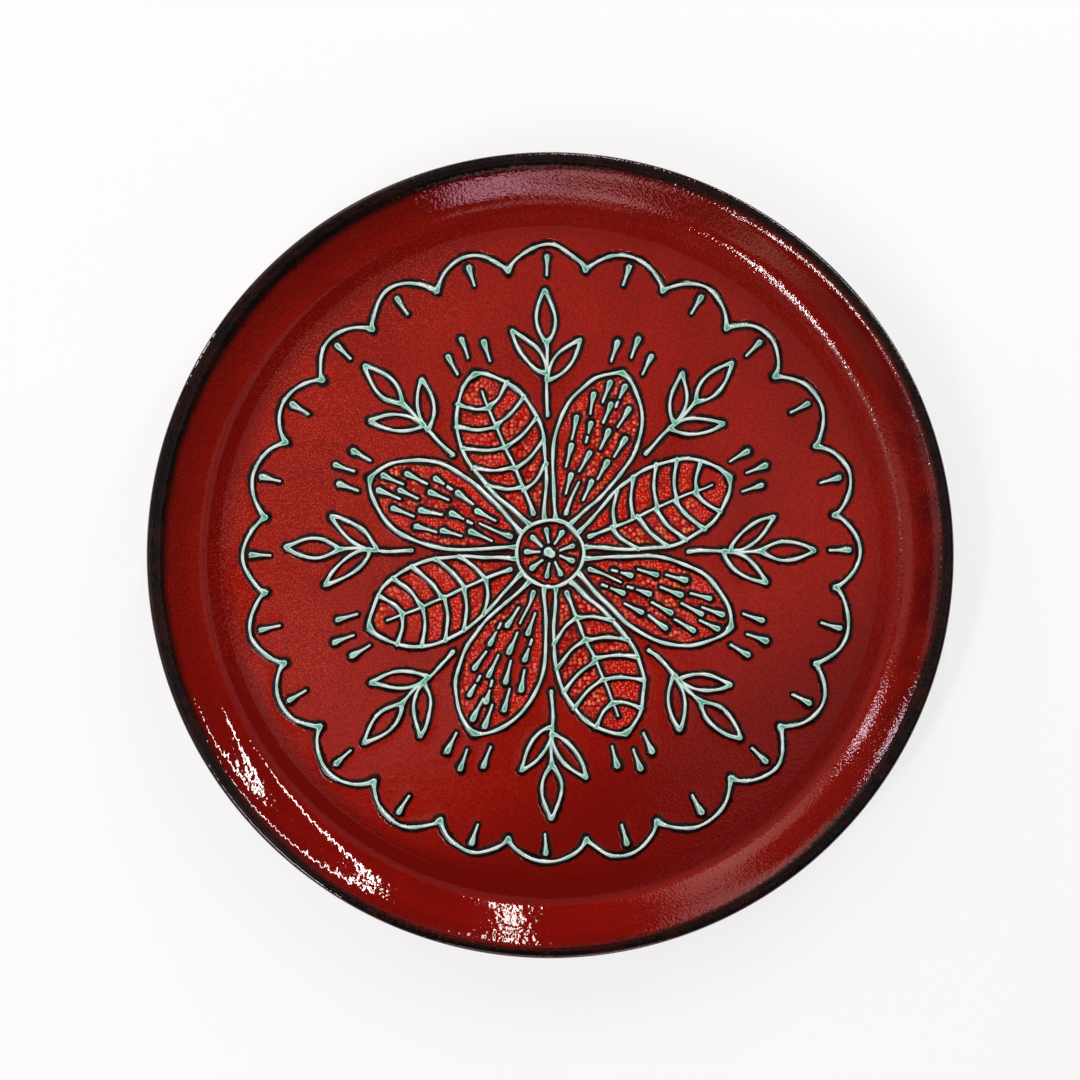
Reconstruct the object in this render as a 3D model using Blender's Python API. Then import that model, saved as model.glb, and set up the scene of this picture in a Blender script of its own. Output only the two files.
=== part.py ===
"""A round glazed stoneware platter on a foot ring, turned as one body.

One profile is revolved about the Z axis: a flat floor, a wall that sweeps up and eases out
again, a fine groove, a lip that rolls over, and underneath the same wall one body thickness
lower, running in to a foot ring round a recessed base. The origin is at the centre of the plane
that the foot ring rests on. Run it with: blender --background --python part.py
"""
import math

import bmesh
import bpy
import numpy as np

# Driving dimensions, in metres.
OUTER_RADIUS = 0.190
FLOOR_TOP = 0.0135
FLOOR_RADIUS = 0.1555
BASE_HEIGHT = 0.006
RIM_THICKNESS = 0.0050

# The wall rises over the ring between the floor and the groove.
GROOVE_RADIUS = 0.1856
WALL_END_RADIUS = GROOVE_RADIUS - 0.0009
WALL_STEEPEST_PLACE = 0.68
WALL_STEEPEST_DEG = 47.0
WALL_EDGE_DEG = 24.0
WALL_SWEEP = 1.4
GROOVE_RISE = 0.00012

# The lip: a low roll from the groove to the crown, then a fuller round down its outer side.
CROWN_RADIUS = 0.1882
ROLL_WIDTH = 0.0026
ROLL_RISE = 0.00055
ROLL_START_DEG = 150.0
ROUND_DROP = 0.0022
LIP_UNDER_RADIUS = OUTER_RADIUS - 0.0026

# The foot ring.
FOOT_OUTER_RADIUS = 0.1260
FOOT_WIDTH = 0.0065
FOOT_TAPER = 0.0010
FOOT_BEVEL = 0.0005

# How finely the profile and its turn are divided.
SEGMENTS = 96
WALL_STEPS = 12
SLOPE_SAMPLES = 481
ROLL_STEPS = 4
ROUND_STEPS = 4
LIP_UNDER_STEPS = 3
UNDERSIDE_STEPS = 8
FLOOR_RINGS = (0.045, 0.090, 0.125)
BASE_RINGS = (0.085, 0.045)

MERGE_DISTANCE = 0.00001
SHARP_EDGE_DEG = 40.0

# The glaze's plain colour, as linear red, green, blue and alpha.
RED_GLAZE = (0.20, 0.008, 0.005, 1.0)
GLAZE_ROUGHNESS = 0.15


def clear_scene():
    """Take away every object that the open file holds."""
    for thing in list(bpy.data.objects):
        bpy.data.objects.remove(thing, do_unlink=True)


def glaze_material(name, colour, roughness):
    """A glossy ceramic finish of one colour."""
    material = bpy.data.materials.new(name)
    material.use_nodes = True
    shader = material.node_tree.nodes["Principled BSDF"]
    shader.inputs["Base Color"].default_value = colour
    shader.inputs["Roughness"].default_value = roughness
    shader.inputs["Metallic"].default_value = 0.0
    material.diffuse_color = colour
    return material


def ease(value):
    """A smooth step from 0 to 1."""
    value = np.clip(value, 0.0, 1.0)
    return value * value * (3.0 - 2.0 * value)


def wall_slope(place):
    """The wall's slope in radians, where place runs from 0 at the floor to 1 at the groove.

    It grows from flat to its steepest, slowly at first, and eases back towards the lip.
    """
    rising = WALL_STEEPEST_DEG * ease(place / WALL_STEEPEST_PLACE) ** WALL_SWEEP
    past = ease((place - WALL_STEEPEST_PLACE) / (1.0 - WALL_STEEPEST_PLACE))
    falling = WALL_STEEPEST_DEG + (WALL_EDGE_DEG - WALL_STEEPEST_DEG) * past
    return np.radians(np.where(place < WALL_STEEPEST_PLACE, rising, falling))


def wall_surface(places):
    """Radius, height and slope of the wall's upper side at these places.

    The height is the running sum of the slope's tangent over the radius.
    """
    fine = np.linspace(0.0, 1.0, SLOPE_SAMPLES)
    width = WALL_END_RADIUS - FLOOR_RADIUS
    rise = np.tan(wall_slope(fine))
    steps = (rise[1:] + rise[:-1]) / 2 * width / (SLOPE_SAMPLES - 1)
    heights = FLOOR_TOP + np.concatenate([[0.0], np.cumsum(steps)])
    return FLOOR_RADIUS + width * places, np.interp(places, fine, heights), wall_slope(places)


def upper_side():
    """The floor and the wall, from the axis out to the edge of the groove."""
    places = np.linspace(0.0, 1.0, WALL_STEPS + 1)
    radii, heights, _ = wall_surface(places)
    floor = [(0.0, FLOOR_TOP)] + [(radius, FLOOR_TOP) for radius in FLOOR_RINGS]
    return floor + list(zip(radii, heights))


def ellipse_arc(middle, radii, start, end, steps):
    """Points on an ellipse round its middle, from one angle in degrees to another."""
    angles = np.radians(np.linspace(start, end, steps + 1))
    across = middle[0] + radii[0] * np.cos(angles)
    return list(zip(across, middle[1] + radii[1] * np.sin(angles)))


def lip(edge_height):
    """The groove, the low roll up to the crown, the outer round and the round underneath."""
    groove = (GROOVE_RADIUS, edge_height + GROOVE_RISE)
    roll_height = groove[1] - ROLL_RISE * math.sin(math.radians(ROLL_START_DEG))
    round_height = roll_height + ROLL_RISE - ROUND_DROP
    under_height = edge_height - RIM_THICKNESS * math.cos(math.radians(WALL_EDGE_DEG))
    under_radii = (OUTER_RADIUS - LIP_UNDER_RADIUS, round_height - under_height)
    round_radii = (OUTER_RADIUS - CROWN_RADIUS, ROUND_DROP)
    roll_middle = (CROWN_RADIUS, roll_height)
    roll = ellipse_arc(roll_middle, (ROLL_WIDTH, ROLL_RISE), ROLL_START_DEG, 90.0, ROLL_STEPS)
    outer = ellipse_arc((CROWN_RADIUS, round_height), round_radii, 90.0, 0.0, ROUND_STEPS)
    under_middle = (LIP_UNDER_RADIUS, round_height)
    under = ellipse_arc(under_middle, under_radii, 0.0, -90.0, LIP_UNDER_STEPS)
    return [groove] + roll + outer[1:] + under[1:]


def underside():
    """The wall's lower side, one thickness square off the upper one, from the lip inwards."""
    places = np.linspace(1.0, 0.0, UNDERSIDE_STEPS + 1)
    radii, heights, slopes = wall_surface(places)
    floor_thickness = FLOOR_TOP - BASE_HEIGHT
    thickness = floor_thickness + (RIM_THICKNESS - floor_thickness) * places
    return list(zip(radii + thickness * np.sin(slopes), heights - thickness * np.cos(slopes)))


def foot_ring():
    """The foot ring, its bevels and its flat tread, and the recessed base in to the axis."""
    inner = FOOT_OUTER_RADIUS - FOOT_WIDTH
    ring = [
        (FOOT_OUTER_RADIUS + FOOT_TAPER, BASE_HEIGHT),
        (FOOT_OUTER_RADIUS, FOOT_BEVEL),
        (FOOT_OUTER_RADIUS - FOOT_BEVEL, 0.0),
        (inner + FOOT_BEVEL, 0.0),
        (inner, FOOT_BEVEL),
        (inner - FOOT_TAPER, BASE_HEIGHT),
    ]
    base = [(radius, BASE_HEIGHT) for radius in BASE_RINGS]
    return ring + base + [(0.0, BASE_HEIGHT)]


def platter_profile():
    """The whole profile, from the axis on top over the lip to the axis underneath."""
    top = upper_side()
    return top + lip(top[-1][1]) + underside() + foot_ring()


def turned_body(name, profile, material):
    """One closed body: the profile spun a full turn about Z, both its ends on the axis."""
    shape = bmesh.new()
    points = [shape.verts.new((radius, 0.0, height)) for radius, height in profile]
    edges = [shape.edges.new(pair) for pair in zip(points, points[1:])]
    bmesh.ops.spin(
        shape,
        geom=points + edges,
        cent=(0.0, 0.0, 0.0),
        axis=(0.0, 0.0, 1.0),
        angle=math.tau,
        steps=SEGMENTS,
        use_merge=True,
    )
    bmesh.ops.remove_doubles(shape, verts=shape.verts, dist=MERGE_DISTANCE)
    bmesh.ops.recalc_face_normals(shape, faces=shape.faces)
    mesh = bpy.data.meshes.new(name)
    shape.to_mesh(mesh)
    shape.free()
    mesh.materials.append(material)
    mesh.shade_smooth()
    mesh.set_sharp_from_angle(angle=math.radians(SHARP_EDGE_DEG))
    body = bpy.data.objects.new(name, mesh)
    bpy.context.scene.collection.objects.link(body)
    return body


def main():
    """Build the platter."""
    clear_scene()
    glaze = glaze_material("red_glaze", RED_GLAZE, GLAZE_ROUGHNESS)
    turned_body("platter", platter_profile(), glaze)


main()
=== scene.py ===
"""A round red glazed stoneware platter with an ornament of raised, trailed lines of glaze.

The file is laid out as an add-on and is run as a script: main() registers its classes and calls
their operators in order. Shapes are numpy surfaces in millimetres, put
into meshes in metres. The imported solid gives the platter's width and what the lights and the
camera aim at.
"""
import functools
import math

import bpy
import numpy as np
from bpy.props import FloatProperty, FloatVectorProperty, IntProperty, PointerProperty
from mathutils import Matrix, Vector


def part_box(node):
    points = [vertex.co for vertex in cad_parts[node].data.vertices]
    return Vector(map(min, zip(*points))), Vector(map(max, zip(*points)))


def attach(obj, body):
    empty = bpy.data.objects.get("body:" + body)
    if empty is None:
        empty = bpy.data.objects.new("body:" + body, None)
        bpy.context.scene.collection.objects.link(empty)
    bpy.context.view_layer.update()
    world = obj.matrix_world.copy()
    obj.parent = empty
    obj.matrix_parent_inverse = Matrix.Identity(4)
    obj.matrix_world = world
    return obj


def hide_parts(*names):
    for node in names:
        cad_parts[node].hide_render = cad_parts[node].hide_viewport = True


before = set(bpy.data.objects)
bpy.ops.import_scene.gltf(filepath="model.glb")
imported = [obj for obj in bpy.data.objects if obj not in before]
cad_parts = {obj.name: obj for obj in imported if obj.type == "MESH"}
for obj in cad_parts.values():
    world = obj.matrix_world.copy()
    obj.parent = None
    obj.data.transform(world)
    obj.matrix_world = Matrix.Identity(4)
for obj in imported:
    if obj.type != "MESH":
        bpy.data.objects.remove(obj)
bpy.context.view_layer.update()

bl_info = {
    "name": "Red Glazed Platter",
    "version": (1, 0, 0),
    "blender": (4, 5, 0),
    "location": "3D View > Sidebar > Platter",
    "description": "Builds a round stoneware platter with a red glaze and raised glaze lines",
    "category": "Add Mesh",
}

NODE = "platter"
BODY = "root"
MM = 0.001
LOWEST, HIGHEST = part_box(NODE)
FULL_TURN = 2.0 * math.pi

# Where the dark glaze of the rim gives way to the red, in mm: a mean radius and, for each
# cosine round the platter, its waves per turn, its reach and its phase in degrees.
RIM_RADIUS = 183.0
RIM_RUN = ((1, 1.54, -43.5), (2, 1.48, 113.9), (3, 0.51, 67.5))
RIM_BLUR = 5.0

# The seeds of what is drawn at random. The seed of a black band's edge is its group's number.
SEEDS = {"medallion": 11, "petals": 23, "sprigs": 37, "border": 53, "floor": 5, "wall": 9}


# ---------------------------------------------------------------------------------------
# Sizes and colours
# ---------------------------------------------------------------------------------------


def length(name, description, default):
    """A size in metres."""
    return FloatProperty(
        name=name, description=description, default=default, unit="LENGTH", precision=5
    )


def angle(name, description, degrees):
    """An angle, given here in degrees."""
    return FloatProperty(
        name=name, description=description, default=math.radians(degrees), unit="ROTATION"
    )


def share(name, description, default):
    """A plain number without a unit."""
    return FloatProperty(name=name, description=description, default=default, precision=4)


def colour(name, description, default):
    """A linear red, green and blue."""
    return FloatVectorProperty(
        name=name, description=description, default=default, subtype="COLOR", size=3,
        min=0.0, max=1.0,
    )


class BodyShape(bpy.types.PropertyGroup):
    """The turned body's sizes, of which the width is the solid's own."""

    outer_radius: length("Outer radius", "From the axis to the lip's edge", HIGHEST.x)
    floor_top: length("Floor height", "Height of the floor over the table", 0.0123)
    floor_radius: length("Floor radius", "Where the floor turns up", 0.157)
    base_height: length("Base height", "Height of the underside over the table", 0.006)
    rim_thickness: length("Rim thickness", "The wall's thickness at the rim", 0.005)
    groove_radius: length("Groove radius", "The groove inside the lip", 0.1856)
    wall_inset: length("Wall inset", "From the wall's end out to the groove", 0.0009)
    steepest_place: share("Steepest place", "Share of the wall at its steepest", 0.663)
    steepest: angle("Steepest slope", "The wall's steepest slope", 46.7)
    edge_slope: angle("Edge slope", "The wall's slope under the lip", 20.0)
    sweep: share("Sweep", "How slowly the wall begins to rise", 1.28)
    hold: share("Hold", "How long the wall stays steep before it eases off", 2.6)
    skirt_slope: angle("Skirt slope", "How steep the skirt inside the wall gets", 7.6)
    turn_up: share("Turn-up", "Share of the wall over which the floor turns up", 0.026)
    early: share("Early slope", "Share of the skirt's slope right after the turn-up", 0.80)
    knee_start: share("Knee start", "Share of the wall at which the skirt ends", 0.209)
    knee_end: share("Knee end", "Share of the wall at which the knee ends", 0.296)
    groove_rise: length("Groove rise", "From the wall's end up to the groove", 0.00012)
    lip_radius: length("Lip radius", "Where the lip is highest", 0.1882)
    roll_width: length("Roll width", "Half width of the lip's roll", 0.0026)
    roll_rise: length("Roll rise", "Half height of the lip's roll", 0.00055)
    roll_start: angle("Roll start", "Where on its ellipse the roll begins", 150.0)
    round_drop: length("Round drop", "Depth of the round outside the lip's top", 0.0022)
    lip_under: length("Lip underside", "How far the lip's underside is drawn in", 0.0026)
    foot_radius: length("Foot radius", "Outer radius of the foot ring", 0.126)
    foot_width: length("Foot width", "Width of the foot ring", 0.0065)
    foot_taper: length("Foot taper", "How much the ring widens upwards", 0.001)
    foot_bevel: length("Foot bevel", "Bevel of the foot ring's tread", 0.0005)
    crease_radius: length("Crease radius", "A faint throwing line on the wall", 0.1648)
    unevenness: length("Unevenness", "How far the hand-thrown floor wanders", 0.00005)


class OrnamentShape(bpy.types.PropertyGroup):
    """The sizes of the trailed ornament."""

    petals: IntProperty(name="Petals", description="How many petals", default=8)
    crest: length("Crest", "Half width of a trailed line", 0.00064)
    junction: share("Junction swell", "How far a line swells where it meets another", 1.7)
    black_width: length("Black width", "Width of the black band beside it", 0.00138)
    fade_width: length("Fade width", "Where the black band runs into the glaze", 0.0011)
    step: length("Step", "Spacing of the stations along a line", 0.0009)
    wobble: length("Wobble", "How far the hand strays from the drawn line", 0.00028)
    eye_radius: length("Eye radius", "Radius of the middle ring", 0.0160)
    petal_start: length("Petal start", "Where the petals begin", 0.0165)
    petal_end: length("Petal end", "Where the petals end", 0.0930)
    petal_width: length("Petal width", "Half width of a petal", 0.0188)
    border_radius: length("Border radius", "Where the scallops meet", 0.1370)
    border_swell: length("Border swell", "How far the scallops swell outwards", 0.0105)
    meniscus: length("Meniscus", "How high the glaze climbs at a line", 0.00015)
    meniscus_width: length("Meniscus width", "How far from a line it climbs", 0.0065)


class GlazeColours(bpy.types.PropertyGroup):
    """The colours of the glazes, the clay and the floor."""

    # The deep red also darkens the floor towards the near right, and paints shade where the floor
    # turns up.
    red_deep: colour("Deep red", "Where the red glaze is thick", (0.155, 0.0028, 0.0017))
    red_light: colour("Light red", "Where the red glaze is thin", (0.385, 0.0112, 0.0042))
    red_wall: colour("Wall red", "The red glaze on the near wall", (0.262, 0.0044, 0.0022))
    # On the far wall the red is a lighter, hazier copy: painted light and a faint painted
    # reflection.
    red_far_lit: colour("Far wall red", "The red glaze on the far wall", (0.285, 0.0090, 0.0042))
    # The smoky red is also the painted shade outwards on the far wall.
    red_smoke_and_shade: colour("Smoky red", "The red glaze where it is smoky", (0.088, 0.0030, 0.0018))
    red_fleck: colour("Red fleck", "Fine flecks in the ground", (0.820, 0.0950, 0.0400))
    cell_net: colour("Cell net", "The red between the cells", (0.480, 0.0040, 0.0018))
    cell_dark: colour("Dark net", "The net where it is darkest", (0.150, 0.0018, 0.0012))
    cell_red: colour("Cell", "The cells' usual colour", (1.000, 0.2100, 0.1300))
    cell_orange: colour("Orange cell", "The brightest cells", (1.000, 0.2600, 0.0650))
    rim: colour("Rim", "The dark glaze of the rim", (0.0050, 0.0024, 0.0022))
    rim_warm: colour("Warm rim", "The rim's glaze where it is thin", (0.0220, 0.0044, 0.0032))
    halo: colour("Halo", "The black beside a line", (0.0040, 0.0026, 0.0018))
    line_pale: colour("Pale line", "The line where it is thin", (0.820, 1.000, 0.960))
    line_mid: colour("Line", "The line at its usual thickness", (0.380, 0.800, 0.660))
    line_pool: colour("Pooled line", "The line where it has pooled", (0.110, 0.480, 0.310))
    clay: colour("Clay", "The bare tread of the foot ring", (0.460, 0.330, 0.220))
    table: colour("Table", "The pale floor", (0.250, 0.256, 0.256))


class PlatterSettings(bpy.types.PropertyGroup):
    """All that a user may change."""

    shape: PointerProperty(type=BodyShape)
    ornament: PointerProperty(type=OrnamentShape)
    colours: PointerProperty(type=GlazeColours)


# ---------------------------------------------------------------------------------------
# Small numeric tools
# ---------------------------------------------------------------------------------------


def ease(value):
    """A smooth step: 3v squared less 2v cubed, with v held between 0 and 1."""
    value = np.clip(value, 0.0, 1.0)
    return value * value * (3.0 - 2.0 * value)


def drift(across, along, seed, longest, shortest, waves=7):
    """Smooth noise of about -1 to 1: a sum of sine waves of seeded direction and phase."""
    rng = np.random.default_rng(seed)
    total = np.zeros(np.broadcast(across, along).shape)
    for _ in range(waves):
        turn, phase = rng.uniform(0.0, FULL_TURN, 2)
        pitch = FULL_TURN / rng.uniform(shortest, longest)
        total += np.sin(pitch * (across * math.cos(turn) + along * math.sin(turn)) + phase)
    return total / math.sqrt(waves)


def waver(travel, rng, longest, shortest):
    """Smooth noise along a line: three sine waves of seeded length and phase."""
    total = np.zeros_like(travel)
    for _ in range(3):
        pitch = FULL_TURN / rng.uniform(shortest, longest)
        total += np.sin(pitch * travel + rng.uniform(0.0, FULL_TURN))
    return total / 2.0


def build_mesh(name, points, triangles, attributes, material, sharp_degrees=180.0):
    """A mesh object from millimetre points, vertex triples and one float per vertex by name."""
    mesh = bpy.data.meshes.new(name)
    mesh.vertices.add(len(points))
    mesh.vertices.foreach_set("co", (points * MM).astype(np.float32).ravel())
    mesh.loops.add(triangles.size)
    mesh.loops.foreach_set("vertex_index", triangles.astype(np.int32).ravel())
    mesh.polygons.add(len(triangles))
    mesh.polygons.foreach_set("loop_start", np.arange(0, triangles.size, 3, dtype=np.int32))
    mesh.update(calc_edges=True)
    mesh.validate()
    for label, values in attributes.items():
        layer = mesh.attributes.new(label, "FLOAT", "POINT")
        layer.data.foreach_set("value", values.astype(np.float32))
    mesh.materials.append(material)
    mesh.shade_smooth()
    mesh.set_sharp_from_angle(angle=math.radians(sharp_degrees))
    piece = bpy.data.objects.new(name, mesh)
    bpy.context.scene.collection.objects.link(piece)
    return piece


def grid_triangles(index):
    """Two triangles for each cell of an index grid that closes on itself along its columns.

    Where a cell's corners share a vertex, the triangle that has no area is left out.
    """
    near, far = index, np.roll(index, -1, axis=1)
    a, b, c, d = near[:-1], near[1:], far[1:], far[:-1]
    first = np.stack([a, b, c], axis=-1).reshape(-1, 3)
    second = np.stack([a, c, d], axis=-1).reshape(-1, 3)
    both = np.concatenate([first, second])
    whole = (both[:, 0] != both[:, 1]) & (both[:, 1] != both[:, 2]) & (both[:, 2] != both[:, 0])
    return both[whole]


# ---------------------------------------------------------------------------------------
# The ornament's strokes, in millimetres, seen from above
# ---------------------------------------------------------------------------------------

# The hand along a line: the longest and shortest waves of its straying, of its width and of its
# pooling, the length of each end that it holds still, the length that a swelling at an end
# takes, and the length from which a line strays in full, with the least share of that.
STRAY_WAVES = (46.0, 14.0)
WIDTH_WAVES = (22.0, 5.0)
POOL_WAVES = (30.0, 8.0)
HELD = 4.0
FLARED = 2.3
FULL_STRAY = 30.0
LEAST_STRAY = 0.15

# How much the width varies, and how the glaze pools: its least, what a swelling and the waves
# add, and its most.
WIDTH_NOISE = 0.15
POOL_LEAST, POOL_FLARE, POOL_NOISE, POOL_MOST = 0.10, 1.9, 0.34, 1.3

# A drop: the spacing of its stations, the share of its length that it bends aside, the range of
# its heads, the shares of its length that the head and the pooled glaze take, the share at
# which a broken one breaks, and how its two parts narrow and widen there. How much glaze has
# pooled in its tail, and the range of what the head holds more.
DROP_STEP = 0.7
DROP_BEND = 0.06
DROP_HEADS = (0.88, 1.12)
HEAD_SHARE, POOL_SHARE, BREAK_SHARE = 0.36, 0.33, 0.60
BREAK_NARROW, BREAK_WIDE = 0.75, 1.15
TAIL_POOL, HEAD_POOLS = 0.15, (0.5, 1.15)

# The middle ring: where its ends meet and how far it goes round, in degrees. The drops in it:
# how many, how far out they start and how long they are.
EYE_SEAM, EYE_ROUND = 70.0, 366.0
EYE_DROPS, EYE_DROP_OUT, EYE_DROP_SPAN = 9, 11.3, 6.2

# A petal's half width at its base, and the powers with which it swells and closes.
PETAL_BASE = 3.9
PETAL_RISE, PETAL_FALL = 1.15, 0.72

# What fills the petals, as distances out and aside. In one kind a short vein and rows of drops,
# which lean by some degrees for each mm aside. In the other a long vein with side veins, from
# these roots to the edge that much farther out, through a middle point that is partly aside.
SHORT_VEIN = ((20.5, 0.0), (28.0, 0.3), (36.5, -0.2))
DROP_ROWS = (
    (39.5, (-5.2, 5.2)),
    (51.5, (-9.4, 0.0, 9.4)),
    (64.5, (-12.6, -4.4, 4.4, 12.6)),
    (77.5, (-9.0, 0.0, 9.0)),
    (87.5, (-3.6, 3.6)),
)
DROP_LEAN = 0.9
DROP_SPANS = (9.0, 11.0)
BROKEN_SHARE = 0.2
LONG_VEIN = ((40.0, -0.5), (62.0, 0.5))
VEIN_START, VEIN_END = 4.0, 9.0
SIDE_VEINS = (33.0, 44.0, 55.0, 66.0, 76.0)
SIDE_REACH = 7.5
SIDE_MIDDLE = (2.2, 0.48)

# A sprig: its stem, its bud's length and half width, about where its leaves leave the stem and
# how much farther out the left one and farther in the right one does, their angle in degrees,
# the range of their lengths, their half width and the spacing of their stations.
STEM = ((66.0, 0.0), (78.0, 0.5), (89.0, -0.4), (101.0, 0.0))
BUD_SPAN, BUD_WIDTH = 25.0, 4.6
LEAF_ROOT, LEAF_STAGGER = 84.5, 1.6
LEAF_ANGLE = 38.0
LEAF_SPANS = (24.0, 27.0)
LEAF_WIDTH = 3.9
LEAF_STEP = 0.8

# The border: scallops for each petal, and the drops in them and over the petals' tips, by how
# far in from the scallop's top or at which turn and radius they start, and their lengths.
SCALLOPS = 3
SCALLOP_DROP_IN, SCALLOP_DROP_SPAN = 5.0, 9.0
TIP_DROPS = ((-0.085, 106.0), (0.0, 111.0), (0.085, 106.0))
TIP_DROP_SPAN = 9.5

# How far the hand misses, as the spread of a bell curve: turns about the axis and the headings
# of drops and buds in radians, the angle of leaves in degrees, and the rest in mm.
MISSES = {
    "eye drop turn": 0.04,
    "petal turn": 0.008,
    "drop heading": 0.05,
    "drop out": 0.5,
    "drop aside": 0.4,
    "side vein": 0.7,
    "sprig turn": 0.010,
    "bud heading": 0.03,
    "leaf angle": 2.0,
    "scallop turn": 0.012,
    "tip drop turn": 0.004,
}


def missed(rng, what, count=None):
    """How far the hand misses this time, or this many times."""
    return rng.normal(0.0, MISSES[what], count)


class Stroke:
    """One trailed stroke: its route, the half width of its crest and how it has pooled."""

    def __init__(self, route, crest, pool):
        self.route = route
        self.crest = crest
        self.pool = pool


def travelled(route):
    """Distance along a route at each of its points."""
    steps = np.hypot(*np.diff(route, axis=0).T)
    return np.concatenate([[0.0], np.cumsum(steps)])


def respaced(route, step):
    """The same route with its points evenly spaced along its length."""
    travel = travelled(route)
    count = max(4, int(round(travel[-1] / step)) + 1)
    even = np.linspace(0.0, travel[-1], count)
    return np.stack([np.interp(even, travel, route[:, 0]), np.interp(even, travel, route[:, 1])], 1)


def through(points, per_span=14):
    """A Catmull-Rom curve: on each span a cubic whose end slopes are half the chords' sums."""
    knots = np.array(points, float)
    padded = np.concatenate([[2 * knots[0] - knots[1]], knots, [2 * knots[-1] - knots[-2]]])
    t = np.linspace(0.0, 1.0, per_span, endpoint=False)[:, None]
    spans = []
    for before, start, end, after in zip(padded, padded[1:], padded[2:], padded[3:]):
        cubic = (
            2 * start
            + (end - before) * t
            + (2 * before - 5 * start + 4 * end - after) * t**2
            + (3 * start - before - 3 * end + after) * t**3
        )
        spans.append(cubic / 2)
    return np.concatenate(spans + [knots[-1:]])


def placed(route, turn, out=0.0, aside=0.0):
    """A route drawn along +X, moved out along it and aside, then turned about the axis."""
    moved = np.asarray(route, float) + (out, aside)
    cos, sin = math.cos(turn), math.sin(turn)
    return moved @ np.array([[cos, sin], [-sin, cos]])


def point_at(turn, out, aside=0.0):
    """One point that far out along a turned line and that far aside of it."""
    return placed([(out, aside)], turn)[0]


def polar(out, around):
    """Points by their distances from the axis and their angles."""
    return np.stack([out * np.cos(around), out * np.sin(around)], 1)


def trailed(route, rng, size, crest=1.0, flares=(0.0, 0.0), tail=1.0, step=None):
    """A stroke along a route, strayed from by hand, swelling where it meets other strokes.

    The crest's half width is the usual one times (1 + noise + a flare that dies away from each
    end like a bell curve). A tail narrows it in a straight line to that share at its end.
    """
    route = respaced(route, (step or size.step / MM))
    travel = travelled(route)
    whole = travel[-1]
    hand = size.wobble / MM * np.clip(whole / FULL_STRAY, LEAST_STRAY, 1.0)
    hold = ease(travel / HELD) * ease((whole - travel) / HELD)
    stray = np.stack([waver(travel, rng, *STRAY_WAVES), waver(travel, rng, *STRAY_WAVES)], 1)
    flare = flares[0] * np.exp(-((travel / FLARED) ** 2))
    flare += flares[1] * np.exp(-(((whole - travel) / FLARED) ** 2))
    noise = WIDTH_NOISE * waver(travel, rng, *WIDTH_WAVES)
    width = size.crest / MM * crest * (1.0 + noise + size.junction * flare)
    narrowed = width * (1.0 + (tail - 1.0) * travel / whole)
    pool = POOL_LEAST + POOL_FLARE * flare + POOL_NOISE * waver(travel, rng, *POOL_WAVES)
    return Stroke(route + stray * hand * hold[:, None], narrowed, np.clip(pool, 0.0, POOL_MOST))


def drop(rng, start, heading, span, head=1.15, tail=0.46, broken=False):
    """A drop with a thin tail: its half width falls from head to tail like a bell curve.

    It bends aside as the square of the way along it. A broken one has a part missing.
    """
    travel = np.linspace(0.0, span, max(6, int(span / DROP_STEP)))
    way = travel / span
    bend = rng.uniform(-DROP_BEND, DROP_BEND) * span * way**2
    along, aside = math.cos(heading), math.sin(heading)
    route = np.array(start) + np.stack(
        [travel * along - bend * aside, travel * aside + bend * along], 1
    )
    head = head * rng.uniform(*DROP_HEADS)
    width = tail + (head - tail) * np.exp(-((way / HEAD_SHARE) ** 2))
    more = (1.0 - TAIL_POOL) * rng.uniform(*HEAD_POOLS)
    pool = TAIL_POOL + more * np.exp(-((way / POOL_SHARE) ** 2))
    if not broken:
        return [Stroke(route, width, pool)]
    cut = int(len(travel) * BREAK_SHARE)
    narrow = width[:cut] * np.linspace(1.0, BREAK_NARROW, cut)
    rest = slice(cut + 2, None)
    return [
        Stroke(route[:cut], narrow, pool[:cut]),
        Stroke(route[rest], width[rest] * BREAK_WIDE, pool[rest]),
    ]


def petal_half_width(place, size):
    """Half width of a petal at a place from 0 at its base to 1 at its tip.

    It is a power of the place times a power of what is left, so that it swells past the
    middle, plus the narrow base, which dies away as the square of what is left.
    """
    place = np.clip(place, 0.0, 1.0)
    peak = PETAL_RISE / (PETAL_RISE + PETAL_FALL)
    top = peak**PETAL_RISE * (1.0 - peak) ** PETAL_FALL
    swell = place**PETAL_RISE * (1.0 - place) ** PETAL_FALL / top
    return size.petal_width / MM * swell + PETAL_BASE * (1.0 - place) ** 2


def medallion(size):
    """The middle ring, its centre drop and the drops that radiate inside it."""
    rng = np.random.default_rng(SEEDS["medallion"])
    turn = np.radians(np.linspace(EYE_SEAM, EYE_SEAM + EYE_ROUND, 120))
    ring = polar(size.eye_radius / MM, turn)
    strokes = [trailed(ring, rng, size, crest=1.05, flares=(0.25, 0.25))]
    strokes += drop(rng, (-0.8, 0.5), math.radians(-35.0), 1.9, head=2.1, tail=1.7)
    for place in range(EYE_DROPS):
        around = FULL_TURN * (place + 0.5) / EYE_DROPS + missed(rng, "eye drop turn")
        start = point_at(around, EYE_DROP_OUT)
        strokes += drop(rng, start, around + math.pi, EYE_DROP_SPAN, head=1.05, tail=0.48)
    return strokes


def petal_outline(rng, size, turn, side):
    """One edge of a petal, from its base at the middle ring to its tip."""
    start, end = size.petal_start / MM, size.petal_end / MM
    place = np.linspace(0.0, 1.0, 90) ** 0.9
    edge = np.stack([start + (end - start) * place, side * petal_half_width(place, size)], 1)
    return trailed(placed(edge, turn), rng, size, flares=(0.45, 0.55))


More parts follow.
